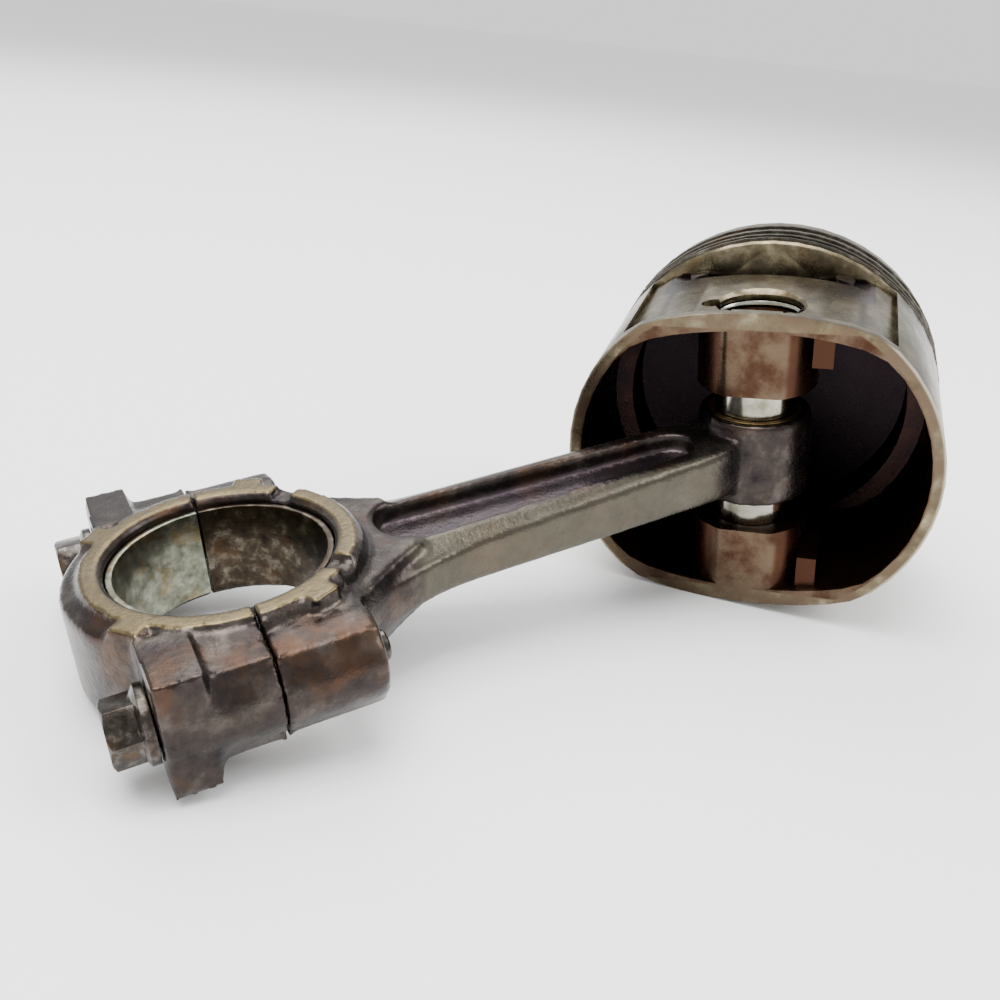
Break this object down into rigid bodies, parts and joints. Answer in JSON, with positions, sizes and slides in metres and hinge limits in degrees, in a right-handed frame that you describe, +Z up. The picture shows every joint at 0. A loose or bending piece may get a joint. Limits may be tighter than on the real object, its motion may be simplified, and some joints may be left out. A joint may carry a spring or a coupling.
{
  "type": "piston and connecting rod assembly",
  "caption": "Used engine piston on its forged I-beam connecting rod, with wrist pin, rings, split big end, bearing shells and cap bolts, lying on its side.",
  "frame": {"origin": "on the ground, under the middle of the assembly's box as it lies on its side", "axes": "+X along the rod from the big end to the piston, +Z up, wrist pin's axis about 10 degrees off +Z"},
  "size_m": [0.2502, 0.1164, 0.0969],
  "materials": {
    "cast_aluminium": "cast and turned, oil-varnished",
    "ring_iron": "ground",
    "spring_wire": "drawn, oiled",
    "ground_pin": "ground and polished",
    "bush_bronze": "bored",
    "forged_steel": "forged, oil-stained, machined faces",
    "bearing_metal": "plated, scored",
    "bolt_steel": "machined, oiled"
  },
  "bodies": {
    "rod_assembly": {"connecting_rod": "forged_steel", "small_end_bush": "bush_bronze", "rod_cap": "forged_steel", "bearing_shell_rod_side": "bearing_metal", "bearing_shell_cap_side": "bearing_metal", "cap_bolt_near": "bolt_steel", "cap_bolt_far": "bolt_steel", "dowel_sleeve_near": "bolt_steel", "dowel_sleeve_far": "bolt_steel"},
    "piston": {"piston_body": "cast_aluminium", "wrist_pin_circlip_upper": "spring_wire", "wrist_pin_circlip_lower": "spring_wire"},
    "wrist_pin": {"wrist_pin": "ground_pin"},
    "top_ring": {"compression_ring_top": "ring_iron"},
    "second_ring": {"compression_ring_second": "ring_iron"},
    "oil_rail_top": {"oil_ring_rail_top": "ring_iron"},
    "oil_expander": {"oil_ring_expander": "spring_wire"},
    "oil_rail_bottom": {"oil_ring_rail_bottom": "ring_iron"}
  },
  "joints": [
    {"name": "piston_swing", "type": "hinge", "parent": "rod_assembly", "child": "piston", "pos_m": [0.05316, -0.01383, 0.04359], "axis": [-0.1745, 0.0112, 0.9846], "range_deg": [-100, 10]},
    {"name": "wrist_pin_turn", "type": "hinge", "parent": "piston", "child": "wrist_pin", "pos_m": [0.05316, -0.01383, 0.04359], "axis": [-0.1745, 0.0112, 0.9846], "continuous": true},
    {"name": "top_ring_turn", "type": "hinge", "parent": "piston", "child": "top_ring", "pos_m": [0.08707, 0.02067, 0.04921], "axis": [0.6963, 0.7085, 0.1153], "continuous": true},
    {"name": "second_ring_turn", "type": "hinge", "parent": "piston", "child": "second_ring", "pos_m": [0.08345, 0.01699, 0.04861], "axis": [0.6963, 0.7085, 0.1153], "continuous": true},
    {"name": "oil_rail_top_turn", "type": "hinge", "parent": "piston", "child": "oil_rail_top", "pos_m": [0.08018, 0.01366, 0.04806], "axis": [0.6963, 0.7085, 0.1153], "continuous": true},
    {"name": "oil_expander_turn", "type": "hinge", "parent": "piston", "child": "oil_expander", "pos_m": [0.07907, 0.01253, 0.04788], "axis": [0.6963, 0.7085, 0.1153], "continuous": true},
    {"name": "oil_rail_bottom_turn", "type": "hinge", "parent": "piston", "child": "oil_rail_bottom", "pos_m": [0.07795, 0.01139, 0.0477], "axis": [0.6963, 0.7085, 0.1153], "continuous": true}
  ]
}
